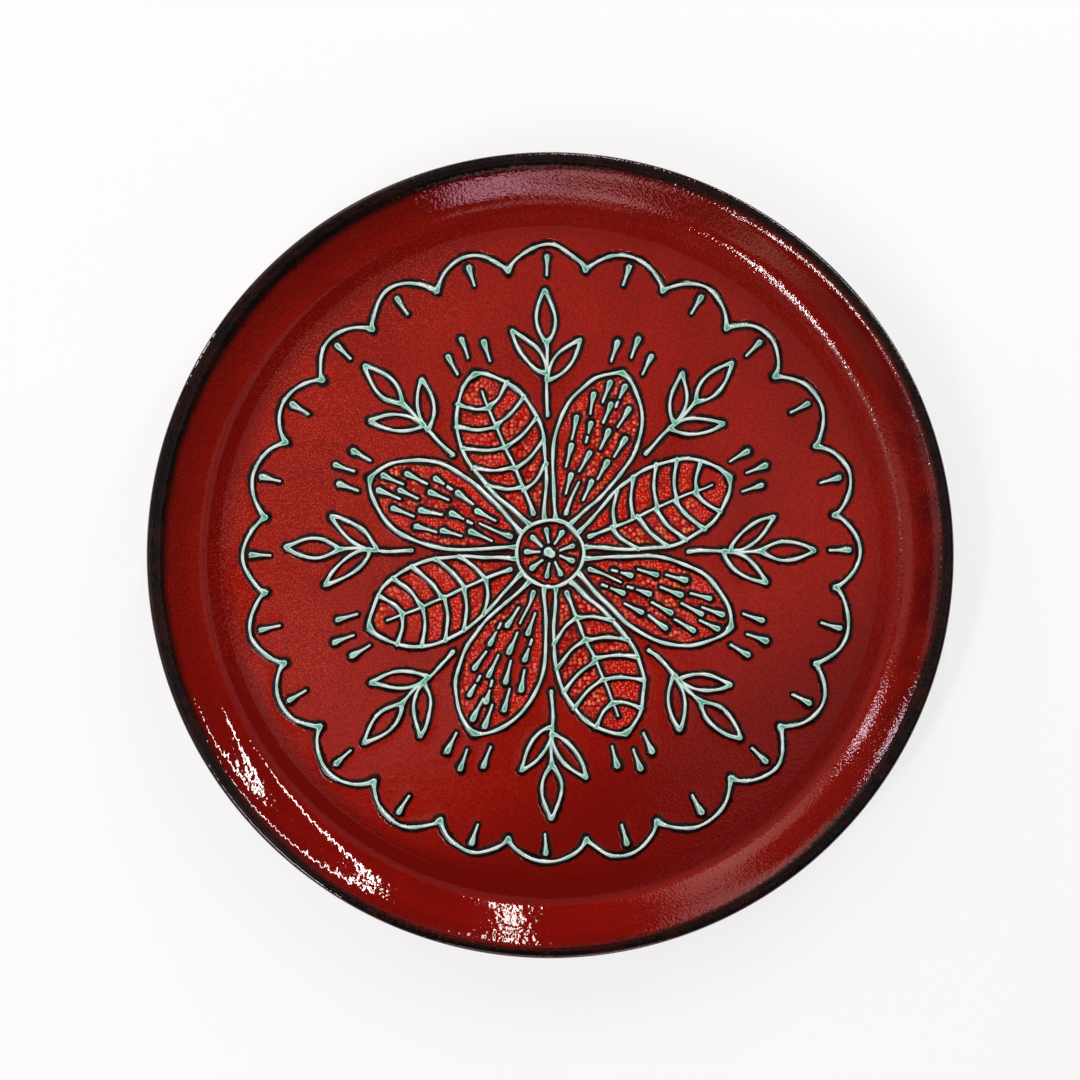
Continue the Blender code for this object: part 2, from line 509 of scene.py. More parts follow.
def drop_petal(rng, size, turn):
    """What fills every other petal: a short middle vein and staggered rows of drops."""
    vein = placed(through(SHORT_VEIN), turn)
    strokes = [trailed(vein, rng, size, flares=(0.35, 0.0), tail=0.55)]
    for out, sides in DROP_ROWS:
        for aside in sides:
            heading = turn + math.radians(DROP_LEAN * aside) + missed(rng, "drop heading") + math.pi
            moved = out + missed(rng, "drop out"), aside + missed(rng, "drop aside")
            start = point_at(turn, *moved)
            span = rng.uniform(*DROP_SPANS)
            strokes += drop(rng, start, heading, span, broken=rng.uniform() < BROKEN_SHARE)
    return strokes


def veined_petal(rng, size, turn):
    """What fills the other petals: a middle vein with side veins that curve to the edge."""
    start, end = size.petal_start / MM, size.petal_end / MM
    vein = through([(start + VEIN_START, 0.0), *LONG_VEIN, (end - VEIN_END, 0.0)])
    strokes = [trailed(placed(vein, turn), rng, size, flares=(0.35, 0.0), tail=0.6)]
    for out in SIDE_VEINS:
        for side in (-1.0, 1.0):
            root = out + missed(rng, "side vein")
            reach = root + SIDE_REACH
            tip = side * petal_half_width((reach - start) / (end - start), size)
            middle = (root + SIDE_MIDDLE[0], tip * SIDE_MIDDLE[1])
            rib = placed(through([(root, 0.0), middle, (reach, tip)]), turn)
            strokes.append(trailed(rib, rng, size, crest=0.9, flares=(0.45, 0.40)))
    return strokes


def petal_strokes(size):
    """All the petals' edges and what fills them, turn by turn."""
    rng = np.random.default_rng(SEEDS["petals"])
    strokes = []
    for place in range(size.petals):
        turn = FULL_TURN * (place + 0.5) / size.petals + missed(rng, "petal turn")
        strokes += [petal_outline(rng, size, turn, side) for side in (-1.0, 1.0)]
        strokes += (drop_petal if place % 2 else veined_petal)(rng, size, turn)
    return strokes


def leaf(rng, size, turn, root, heading, span, width):
    """A lens-shaped leaf: two bowed edges that meet at both ends.

    Each edge is a power of a sine, whose top lies a little before the middle.
    """
    place = np.linspace(0.0, 1.0, 30)
    bow = np.sin(math.pi * place**0.9) ** 0.85 * width
    strokes = []
    for side in (-1.0, 1.0):
        flat = placed(np.stack([place * span, side * bow], 1), heading)
        edge = placed(flat, turn, *root)
        flares = (0.45, 0.35)
        strokes.append(trailed(edge, rng, size, crest=0.95, flares=flares, step=LEAF_STEP))
    return strokes


def sprig_strokes(size):
    """Between the petals, a stem with a bud at its end and leaves to both sides."""
    rng = np.random.default_rng(SEEDS["sprigs"])
    strokes = []
    for place in range(size.petals):
        turn = FULL_TURN * place / size.petals + missed(rng, "sprig turn")
        stem = placed(through(STEM), turn)
        strokes.append(trailed(stem, rng, size, crest=0.95, flares=(0.2, 0.5)))
        heading = missed(rng, "bud heading")
        strokes += leaf(rng, size, turn, STEM[-1], heading, BUD_SPAN, BUD_WIDTH)
        for side in (-1.0, 1.0):
            heading = side * math.radians(LEAF_ANGLE + missed(rng, "leaf angle"))
            root = (LEAF_ROOT + side * LEAF_STAGGER, 0.0)
            span = rng.uniform(*LEAF_SPANS)
            strokes += leaf(rng, size, turn, root, heading, span, LEAF_WIDTH)
    return strokes


def border_strokes(size):
    """The scalloped border with a drop in each scallop, and drops over the petals' tips.

    A scallop swells outwards as a power of a sine.
    """
    rng = np.random.default_rng(SEEDS["border"])
    radius, swell = size.border_radius / MM, size.border_swell / MM
    count = SCALLOPS * size.petals
    strokes = []
    meetings = FULL_TURN * (np.arange(count) + 0.5) / count
    meetings = meetings + missed(rng, "scallop turn", count)
    meetings = np.append(meetings, meetings[0] + FULL_TURN)
    way = np.linspace(0.0, 1.0, 40)
    for start, end in zip(meetings, meetings[1:]):
        out = radius + swell * rng.uniform(0.9, 1.08) * np.sin(math.pi * way) ** 0.8
        arc = polar(out, start + (end - start) * way)
        strokes.append(trailed(arc, rng, size, flares=(0.5, 0.5)))
        middle = (start + end) / 2
        aside = missed(rng, "drop aside")
        top = point_at(middle, radius + swell - SCALLOP_DROP_IN, aside)
        strokes += drop(rng, top, middle + math.pi, SCALLOP_DROP_SPAN, tail=0.48)
    for place in range(size.petals):
        turn = FULL_TURN * (place + 0.5) / size.petals
        for lean, out in TIP_DROPS:
            around = turn + lean + missed(rng, "tip drop turn")
            start, heading = point_at(around, out), around + math.pi
            strokes += drop(rng, start, heading, TIP_DROP_SPAN, head=1.2, tail=0.45)
    return strokes


def ornament(size):
    """Every stroke, in the groups that become pieces."""
    return {
        "medallion_lines": medallion(size),
        "petal_lines": petal_strokes(size),
        "sprig_lines": sprig_strokes(size),
        "border_lines": border_strokes(size),
    }


# ---------------------------------------------------------------------------------------
# Surfaces
# ---------------------------------------------------------------------------------------

# How finely the body is divided: its rings on the floor, the last ring's distance from the wall
# in mm, the wall's rings before and after a share of it, the underside's rings, the steps round
# the axis, and the samples from which the wall's height is summed up.
FLOOR_RINGS, LAST_RING = 104, 0.25
FOOT_OF_WALL, FOOT_RINGS, WALL_RINGS, UNDER_RINGS = 0.05, 8, 40, 26
SEGMENTS = 400
SLOPE_SAMPLES = 481

# Edges that turn by more degrees than this are shaded as sharp.
SHARP_DEGREES = 50.0

# The floor in mm: where its relief ends and over what width, its slow waves' longest and
# shortest, and half the width over which the glaze parts into cells.
RELIEF_END, RELIEF_FADE = 145.0, 12.0
FLOOR_WAVES = (150.0, 45.0)
CELL_EDGE = 0.8

# The wall in mm: the throwing line's height and half width, the hand's waves on it with their
# height, and the radii and widths over which these begin and end.
CREASE_HEIGHT, CREASE_WIDTH = 0.05, 0.55
WALL_WAVES, WALL_WAVE_HEIGHT = (70.0, 22.0), 0.030
WAVES_BEGIN, WAVES_END = (157.0, 6.0), (181.0, 4.0)

# The underside in mm: radii of its rings outside the foot, the width and height of the step at
# the foot ring's root, a point on the ring's side by how far it lies out from the edge and above
# the bevel, the share of the bevel at which it has a point, how far above the bevel the bare
# clay reaches, and the base's disc by its distance from the ring's root and its rings.
UNDER_RADII = (148.0, 140.0, 133.0)
FOOT_STEP = (0.6, 0.4)
FOOT_SIDE = (0.2, 1.0)
BEVEL_POINT = 0.3
CLAY_HEIGHT = 0.45
DISC_IN, DISC_RINGS = 6.0, 12

# A ridge across, from the middle of its crest out, in mm: shares of the crest's half width and
# how round it is, the crest's height and its growth with its half width, where the black
# shoulder starts, the share of the fade at which it has a point, heights over the shoulder and
# the fade, the zones there, the keel, and the points of a half circle round an end.
CREST_SHARES = np.array([0.0, 0.42, 0.72, 0.90, 1.0])
CREST_ROUND = 0.88
CREST_HEIGHT, CREST_GROWTH = 0.55, 0.30
SHOULDER_START = 0.14
FADE_POINT = 0.45
SHOULDER_HEIGHTS = np.array([0.13, 0.095, 0.06, 0.02, -0.07])
SHOULDER_ZONES = [1.12, 1.5, 2.0, 2.45, 3.0]
KEEL = -0.5
CAP_STEPS = 9

# How ragged the black band's edge is: for short and long waves their reach, longest and
# shortest in mm, the spacing of its points by which they are reckoned, and how much the band
# widens for each mm that the crest swells.
RAGGED_SHORT, RAGGED_LONG = (0.12, 7.0, 2.2), (0.20, 40.0, 12.0)
RAGGED_SPACING = 0.9
BAND_GROWTH = 0.30


class Floor:
    """Heights and glaze shares of the platter's upper side, as functions of x and y."""

    # The grid of distances to the strokes: the side of its cells and half its own side, in mm.
    CELL = 0.5
    HALF = 170.0

    def __init__(self, settings, groups):
        self.shape = settings.shape
        self.size = settings.ornament
        self.reach = self.size.meniscus_width / MM
        self.near = self.distances(np.concatenate([s.route for g in groups.values() for s in g]))

    def distances(self, points):
        """A square grid of the distance to the nearest stroke, held at the meniscus's reach.

        Each point of a stroke offers its distance to the grid cells round it, and each cell
        keeps the smallest.
        """
        cells = int(2 * self.HALF / self.CELL) + 1
        near = np.full((cells, cells), self.reach)
        window = int(self.reach / self.CELL) + 1
        offsets = np.arange(-window, window + 1)
        rows, columns = (part.ravel() for part in np.meshgrid(offsets, offsets))
        exact = (points + self.HALF) / self.CELL
        corner = np.rint(exact).astype(int)
        gap_x = (corner[:, :1] + columns - exact[:, :1]) * self.CELL
        gap_y = (corner[:, 1:] + rows - exact[:, 1:]) * self.CELL
        at = (corner[:, 1:] + rows) * cells + corner[:, :1] + columns
        np.minimum.at(near.ravel(), at.ravel(), np.hypot(gap_x, gap_y).ravel())
        return near

    def distance(self, x, y):
        """The distance grid read between its cells, in straight lines both ways."""
        limit = self.near.shape[0] - 1.001
        column = np.clip((x + self.HALF) / self.CELL, 0.0, limit)
        row = np.clip((y + self.HALF) / self.CELL, 0.0, limit)
        c, r = column.astype(int), row.astype(int)
        right, up = column - c, row - r
        low = self.near[r, c] * (1 - right) + self.near[r, c + 1] * right
        high = self.near[r + 1, c] * (1 - right) + self.near[r + 1, c + 1] * right
        return low * (1 - up) + high * up

    def wall_slope(self, place):
        """The wall's slope: it grows from flat to its steepest and eases off to the edge.

        It begins as a shallow skirt, which turns up at once and steepens a little, and turns
        up into the wall at a knee.
        """
        shape = self.shape
        rising = shape.steepest * ease(place / shape.steepest_place) ** shape.sweep
        early = shape.early * ease(place / shape.turn_up)
        late = (1.0 - shape.early) * np.clip(place / shape.knee_start, 0.0, 1.0)
        skirt = shape.skirt_slope * (early + late)
        knee = ease((place - shape.knee_start) / (shape.knee_end - shape.knee_start))
        rising = skirt + (rising - skirt) * knee
        past = np.clip((place - shape.steepest_place) / (1.0 - shape.steepest_place), 0.0, 1.0)
        falling = shape.steepest + (shape.edge_slope - shape.steepest) * ease(past**shape.hold)
        return np.where(place < shape.steepest_place, rising, falling)

    def wall(self, place):
        """Radius and height of the wall: the height is the running sum of its slope."""
        shape = self.shape
        fine = np.linspace(0.0, 1.0, SLOPE_SAMPLES)
        start = shape.floor_radius / MM
        width = (shape.groove_radius - shape.wall_inset) / MM - start
        rise = np.tan(self.wall_slope(fine))
        step = width / (SLOPE_SAMPLES - 1)
        climb = np.concatenate([[0.0], np.cumsum((rise[1:] + rise[:-1]) / 2 * step)])
        return start + width * place, shape.floor_top / MM + np.interp(place, fine, climb)

    def relief(self, x, y):
        """What the hand and the glaze add to the plain floor.

        Long slow waves, and a meniscus that climbs to the strokes as the square of how near
        they are; both die away where the floor turns up.
        """
        inside = 1.0 - ease((np.hypot(x, y) - RELIEF_END) / RELIEF_FADE)
        waves = self.shape.unevenness / MM * drift(x, y, SEEDS["floor"], *FLOOR_WAVES)
        closeness = 1.0 - self.distance(x, y) / self.reach
        return inside * (waves + self.size.meniscus / MM * closeness**2)

    def cells(self, x, y):
        """How far the glaze has parted into cells: 1 inside the petals and the middle ring."""
        size = self.size
        out, around = np.hypot(x, y), np.arctan2(y, x)
        pitch = FULL_TURN / size.petals
        off = (around / pitch - 0.5) - np.rint(around / pitch - 0.5)
        along, aside = out * np.cos(off * pitch), out * np.sin(off * pitch)
        start, end = size.petal_start / MM, size.petal_end / MM
        place = (along - start) / (end - start)
        spare = petal_half_width(place, size) - np.abs(aside)
        inside = ease((spare + CELL_EDGE) / (2 * CELL_EDGE)) * (place > 0.0) * (place < 1.0)
        eye = 1.0 - ease((out - size.eye_radius / MM + CELL_EDGE) / (2 * CELL_EDGE))
        return np.maximum(inside, eye)


def round_stations(route):
    """Once round a route: the station that each point of a ring belongs to and its way out.

    The ring goes along the left side, turns a half circle round the end, comes back along the
    right side and turns a half circle round the start.
    """
    cap = np.linspace(0.0, math.pi, CAP_STEPS)[1:-1, None]
    heading = np.gradient(route, axis=0)
    heading /= np.hypot(*heading.T)[:, None]
    left = np.stack([-heading[:, 1], heading[:, 0]], 1)
    turned_end = np.cos(cap) * left[-1] + np.sin(cap) * heading[-1]
    turned_start = -np.cos(cap) * left[0] - np.sin(cap) * heading[0]
    out = np.concatenate([left, turned_end, -left[::-1], turned_start])
    forth = np.arange(len(route))
    ends = np.full(len(cap), len(route) - 1)
    return np.concatenate([forth, ends, forth[::-1], 0 * ends]), out


def ridge(strokes, floor, seed):
    """Strokes as closed ridges: rings of points at growing distance all round each route.

    Across a ridge the height is a rounded crest, h times the root of 1 less the square of
    0.88 f at the share f of the half width, then a low black shoulder, then a fade that dips
    just under the floor, and a keel below the route closes it. "zone" is f on the crest, 1 to
    2 over the shoulder and 2 to 3 over the fade. The crest's middle ring and the keel are the
    route's own points, so that no face there is without area.
    """
    size = floor.size
    black, fade = size.black_width / MM, size.fade_width / MM
    half_way = (SHOULDER_START + black) / 2
    faded = black + FADE_POINT * fade
    beyond = np.array([SHOULDER_START, half_way, black, faded, black + fade])
    zones = np.concatenate([CREST_SHARES[1:], SHOULDER_ZONES])
    shares, beyond = CREST_SHARES[:, None], beyond[:, None]
    rng = np.random.default_rng(seed)
    points, triangles, zone, pool, first = [], [], [], [], 0
    for stroke in strokes:
        route, count = stroke.route, len(stroke.route)
        station, out = round_stations(route)
        half = stroke.crest[station]
        travel = np.arange(len(station)) * RAGGED_SPACING
        ragged = 1.0 + sum(
            reach * waver(travel, rng, *waves) for reach, *waves in (RAGGED_SHORT, RAGGED_LONG)
        )
        spread = ragged * (1.0 + BAND_GROWTH * (half - size.crest / MM))
        apart = np.concatenate([half * shares, half + spread * beyond, [half * 0.0]])
        tall = CREST_HEIGHT + CREST_GROWTH * half
        high = tall * np.sqrt(1.0 - (CREST_ROUND * shares) ** 2)
        low = np.repeat(np.append(SHOULDER_HEIGHTS, KEEL)[:, None], len(station), axis=1)
        rings = np.stack([
            route[station, 0] + out[:, 0] * apart,
            route[station, 1] + out[:, 1] * apart,
            np.concatenate([high, low]),
        ], -1)
        points += [rings[0, :count], rings[-1, :count], rings[1:-1].reshape(-1, 3)]
        zone += [np.zeros(count), np.full(count, 3.0), np.repeat(zones, len(station))]
        pool += [stroke.pool, stroke.pool, np.tile(stroke.pool[station], len(zones))]
        inner = first + 2 * count + np.arange(len(zones) * len(station)).reshape(len(zones), -1)
        index = np.concatenate([[first + station], inner, [first + count + station]])
        triangles.append(grid_triangles(index)[:, ::-1])
        first += 2 * count + inner.size
    points = np.concatenate(points)
    points[:, 2] += floor.shape.floor_top / MM + floor.relief(points[:, 0], points[:, 1])
    attributes = {
        "zone": np.concatenate(zone),
        "pool": np.concatenate(pool),
        "cells": floor.cells(points[:, 0], points[:, 1]),
    }
    return points, np.concatenate(triangles), attributes


def arc_points(middle, radii, start, end, count):
    """Points on an ellipse round middle, from the start angle to the end angle."""
    turn = np.linspace(start, end, count)
    return np.stack([middle[0] + radii[0] * np.cos(turn), middle[1] + radii[1] * np.sin(turn)], 1)


def foot_and_base(shape):
    """The underside inside the wall: its flat rings, the foot ring's two sides and the disc.

    The foot ring's inner side is the mirror image of its outer one.
    """
    foot, base = shape.foot_radius / MM, shape.base_height / MM
    inner = foot - shape.foot_width / MM
    bevel, taper = shape.foot_bevel / MM, shape.foot_taper / MM
    side = np.array([
        (taper + FOOT_STEP[0], base),
        (taper, base - FOOT_STEP[1]),
        (FOOT_SIDE[0], bevel + FOOT_SIDE[1]),
        (0.0, bevel),
        (-BEVEL_POINT * bevel, BEVEL_POINT * bevel),
        (-bevel, 0.0),
    ])
    flat = np.array([(radius, base) for radius in UNDER_RADII])
    rings = np.linspace(inner - taper - DISC_IN, 0.0, DISC_RINGS)
    disc = np.stack([rings, np.full_like(rings, base)], 1)
    return [flat, side + (foot, 0.0), side[::-1] * (-1.0, 1.0) + (inner, 0.0), disc]


def body_profile(floor):
    """The platter's profile from the axis over the lip to the axis again, and its zones.

    Floor, wall, groove, a low elliptic roll up to the lip's top, a fuller arc down its outside,
    the wall again one thickness lower, the foot ring and the base. "under" is 1 from the lip's
    outside on, and "clay" is 1 on the foot ring's tread.
    """
    shape = floor.shape
    floor_end = shape.floor_radius / MM
    rings = np.append(np.linspace(0.0, floor_end, FLOOR_RINGS)[:-1], floor_end - LAST_RING)
    flat = np.stack([rings, np.full_like(rings, shape.floor_top / MM)], 1)
    foot_of_wall = np.linspace(0.0, FOOT_OF_WALL, FOOT_RINGS)[:-1]
    place = np.append(foot_of_wall, np.linspace(FOOT_OF_WALL, 1.0, WALL_RINGS))
    wall = np.stack(floor.wall(place), 1)
    edge = wall[-1, 1]
    outer, top_at = shape.outer_radius / MM, shape.lip_radius / MM
    tall, drop_by = shape.roll_rise / MM, shape.round_drop / MM
    groove = np.array([(shape.groove_radius / MM, edge + shape.groove_rise / MM)])
    roll_at = groove[0, 1] - tall * math.sin(shape.roll_start)
    upright = math.pi / 2
    radii = (shape.roll_width / MM, tall)
    roll = arc_points((top_at, roll_at), radii, shape.roll_start, upright, 9)
    round_at = roll_at + tall - drop_by
    outside = arc_points((top_at, round_at), (outer - top_at, drop_by), upright, 0.0, 11)[1:]
    under_at = outer - shape.lip_under / MM
    drop_to = round_at - edge + shape.rim_thickness / MM * math.cos(shape.edge_slope)
    lip = arc_points((under_at, round_at), (outer - under_at, drop_to), 0.0, -upright, 8)[1:]
    place = np.linspace(1.0, 0.0, UNDER_RINGS)
    radius, height = floor.wall(place)
    slope = floor.wall_slope(place)
    deep = (shape.floor_top - shape.base_height) / MM
    thick = deep + (shape.rim_thickness / MM - deep) * place
    under = np.stack([radius + thick * np.sin(slope), height - thick * np.cos(slope)], 1)
    upper = np.concatenate([flat, wall, groove, roll, outside])
    profile = np.concatenate([upper, lip, under, *foot_and_base(shape)])
    below = (np.arange(len(profile)) >= len(upper)).astype(float)
    clay = below * (profile[:, 1] < shape.foot_bevel / MM + CLAY_HEIGHT)
    return profile, below, clay


def turned_body(floor):
    """The profile turned about the axis, with the floor's relief and the wall's soft waves.

    "rim" says how far the red has run off the rim: a straight rise over RIM_BLUR, whose middle
    is at RIM_RADIUS plus three cosines of the angle.
    """
    profile, below, clay = body_profile(floor)
    around = np.linspace(0.0, FULL_TURN, SEGMENTS, endpoint=False)
    radius, height = profile[1:-1, :1], profile[1:-1, 1:]
    x, y = radius * np.cos(around), radius * np.sin(around)
    above = 1.0 - below[1:-1, None]
    from_crease = (radius - floor.shape.crease_radius / MM) / CREASE_WIDTH
    crease = CREASE_HEIGHT * np.exp(-(from_crease**2))
    begun, ended = (ease((radius - at) / over) for at, over in (WAVES_BEGIN, WAVES_END))
    thrown = drift(x, y, SEEDS["wall"], *WALL_WAVES) * WALL_WAVE_HEIGHT * begun * (1.0 - ended)
    z = height + above * (floor.relief(x, y) + crease + thrown)
    count = x.size
    points = np.stack([x, y, z], -1).reshape(-1, 3)
    poles = np.array([(0.0, 0.0, profile[0, 1]), (0.0, 0.0, profile[-1, 1])])
    poles[0, 2] += floor.relief(np.zeros(1), np.zeros(1))[0]
    inner = np.arange(count).reshape(x.shape)
    ends = np.full((2, 1, SEGMENTS), count) + [[[0]], [[1]]]
    index = np.concatenate([ends[0], inner, ends[1]])
    border = RIM_RADIUS + sum(
        reach * np.cos(waves * around - math.radians(phase)) for waves, reach, phase in RIM_RUN
    )
    rim = np.where(above > 0.5, np.clip(0.5 + (radius - border) / RIM_BLUR, 0.0, 1.0), 1.0)
    cells = floor.cells(x, y) * above
    attributes = {
        "rim": np.append(rim.ravel(), [0.0, 1.0]),
        "under": np.append(np.repeat(below[1:-1], SEGMENTS), [0.0, 1.0]),
        "clay": np.append(np.repeat(clay[1:-1], SEGMENTS), [0.0, 0.0]),
        "cells": np.append(cells.ravel(), [1.0, 0.0]),
    }
    return np.concatenate([points, poles]), grid_triangles(index), attributes


# ---------------------------------------------------------------------------------------
# Materials
# ---------------------------------------------------------------------------------------

# The sides on which a glaze changes: a level direction, how far along it in metres the change
# begins and ends, and the values before and after it.
RIGHTWARD = (1.0, 0.15)
SIDES = {
    # The far side of the wall, whose red is painted lighter and hazier.
    "wall_far": ((-0.6, -1.0), 0.10, 0.19, 1.0, 0.0),
    "darker_right": ((1.0, 0.12), 0.095, 0.185, 0.0, 1.0),
    "clear_near_left": ((-0.7, -0.7), 0.05, 0.11, 1.0, 0.1),
    "darker_near_right": ((0.50, -0.87), 0.065, 0.125, 0.0, 0.75),
    # Where the painted shade in the crease where the floor turns up grows weaker, on the far right.
    "lighter_crease_far_right": ((0.8, 0.6), -0.02, 0.13, 1.0, 0.35),
    "flecked_left": ((-1.0, 0.0), -0.05, 0.09, 0.04, 1.0),
    "flecked_far": ((0.0, 1.0), -0.12, -0.05, 0.15, 1.0),
    "grained_right": (RIGHTWARD, -0.060, 0.040, 0.15, 0.85),
    "grained_back_left": ((-0.2, 1.0), 0.150, 0.175, 0.0, 0.6),
    "grained_back": ((0.10, 1.0), 0.155, 0.170, 0.0, 1.0),
    "grained_far_right": ((0.77, 0.64), 0.135, 0.155, 0.0, 0.6),
    "grained_near_right": ((0.9, -0.4), 0.080, 0.130, 0.0, 0.8),
    "dimpled_left": (RIGHTWARD, -0.060, 0.040, 1.4, 0.8),
}

# The rings in which a glaze changes: the radii in metres between which it does, and the values
# before and after it.
RINGS = {
    # Where the floor turns up its red is painted darker: painted shade in the crease.
    "turn_up": (0.147, 0.160, 0.0, 1.0),
    "wall": (0.1635, 0.1675, 0.0, 1.0),
    "darker_high": (0.1695, 0.1790, 0.0, 1.0),
    # Outwards on the far wall the red is painted darker: painted shade.
    "darker_outward": (0.168, 0.181, 0.0, 0.42),
    "smoky_edge": (0.1785, 0.1835, 0.0, 0.34),
    "flecked_floor": (0.166, 0.150, 0.22, 1.0),
    "dimpled_wall": (0.155, 0.165, 0.35, 1.0),
    "dimpled_under_lip": (0.1770, 0.1820, 1.0, 1.8),
}

# Drifting patches of noise: the pitch in metres, the noise's detail and roughness, the noise
# between which the patch fades, and the values before and after it.
PATCHES = {
    "smoke": (0.030, 2.0, 0.5, 0.60, 0.34, 0.0, 0.22),
    "high_patches": (0.018, 3.0, 0.5, 0.36, 0.56, 0.55, 1.0),
    "gathered": (0.085, 3.0, 0.55, 0.62, 0.36, 0.0, 0.40),
    "grain": (0.0008, 3.0, 0.65, 0.40, 0.62, 0.0, 0.60),
    "flecks": (0.060, 2.0, 0.5, 0.34, 0.60, 0.35, 1.0),
    "orange": (0.009, 2.0, 0.5, 0.50, 0.72, 0.0, 1.0),
    "froth": (0.020, 2.0, 0.5, 0.48, 0.60, 0.0, 1.0),
    "dusk": (0.014, 2.0, 0.5, 0.50, 0.72, 0.0, 0.45),
    "parted": (0.026, 2.0, 0.5, 0.34, 0.44, 0.0, 1.0),
    "roughness": (0.02, 2.0, 0.5, 0.3, 0.7, 0.030, 0.055),
}

# Dots in cells: the cells' pitch in metres and how unevenly they lie, the shares of a pitch
# between which a dot fades, and how a cell's own random number makes its dot weak or strong.
# Then the shares of a pitch from a cell's edge over which the net between the froth fades.
SPECKS = {
    "froth": (0.00215, 0.85, (0.50, 0.26), (0.10, 0.85, 0.10, 1.0)),
    "dots": (0.00140, 0.80, (0.42, 0.14), (0.10, 0.8, 0.25, 1.0)),
    "flecks": (0.00082, 1.0, (0.38, 0.08), (0.30, 0.95, 0.0, 1.0)),
}
NET_EDGE = (0.02, 0.17)

# The skin: pitches of its grains, its dimples and the lines' ripples, and how high they stand
# on the body and on the lines, all in metres.
GRAIN_PITCH, DIMPLE_PITCH, RIPPLE_PITCH = 0.0012, 0.0031, 0.0016
SKIN_HEIGHT, RIPPLE_HEIGHT = 0.00007, 0.00005

# The rim's border in the "rim" attribute: how far a fine and a slow noise shift it, with their
# pitches in metres, and between which values the dark glaze sets in and turns warm.
FINE_SHIFT, FINE_PITCH = 0.50, 0.0016
SLOW_SHIFT, SLOW_PITCH = 0.40, 0.012
RIM_EDGE, RIM_WARMTH = (0.08, 0.86), (0.40, 0.75)

# The bare clay: its darker tone, the pitch of its specks in metres and how rough it is.
CLAY_DARK = (0.30, 0.20, 0.125)
CLAY_PITCH = 0.004
CLAY_ROUGH = 0.85

# The lines' glaze: the zones between which it thickens towards the crest's middle, how thick it
# is where pale green turns to mid and mid to pooled green, the zones in which the black band
# begins and fades out, how its roughness changes there, and how thick it is without pooling.
CREST_MIDDLE = (1.15, 0.2)
PALE_TO_MID, MID_TO_POOL = (0.12, 0.50), (0.55, 1.10)
BAND_START, BAND_FADE = (0.97, 1.06), (1.80, 2.90)
LINE_ROUGHNESS = (0.9, 1.2, 0.05, 0.10)
UNPOOLED = 0.15

# How far noise moves the green's shade and the black band's edge, with the latter's pitch.
SHADE_SHIFT, BAND_SHIFT, BAND_PITCH = 0.6, 0.7, 0.0011


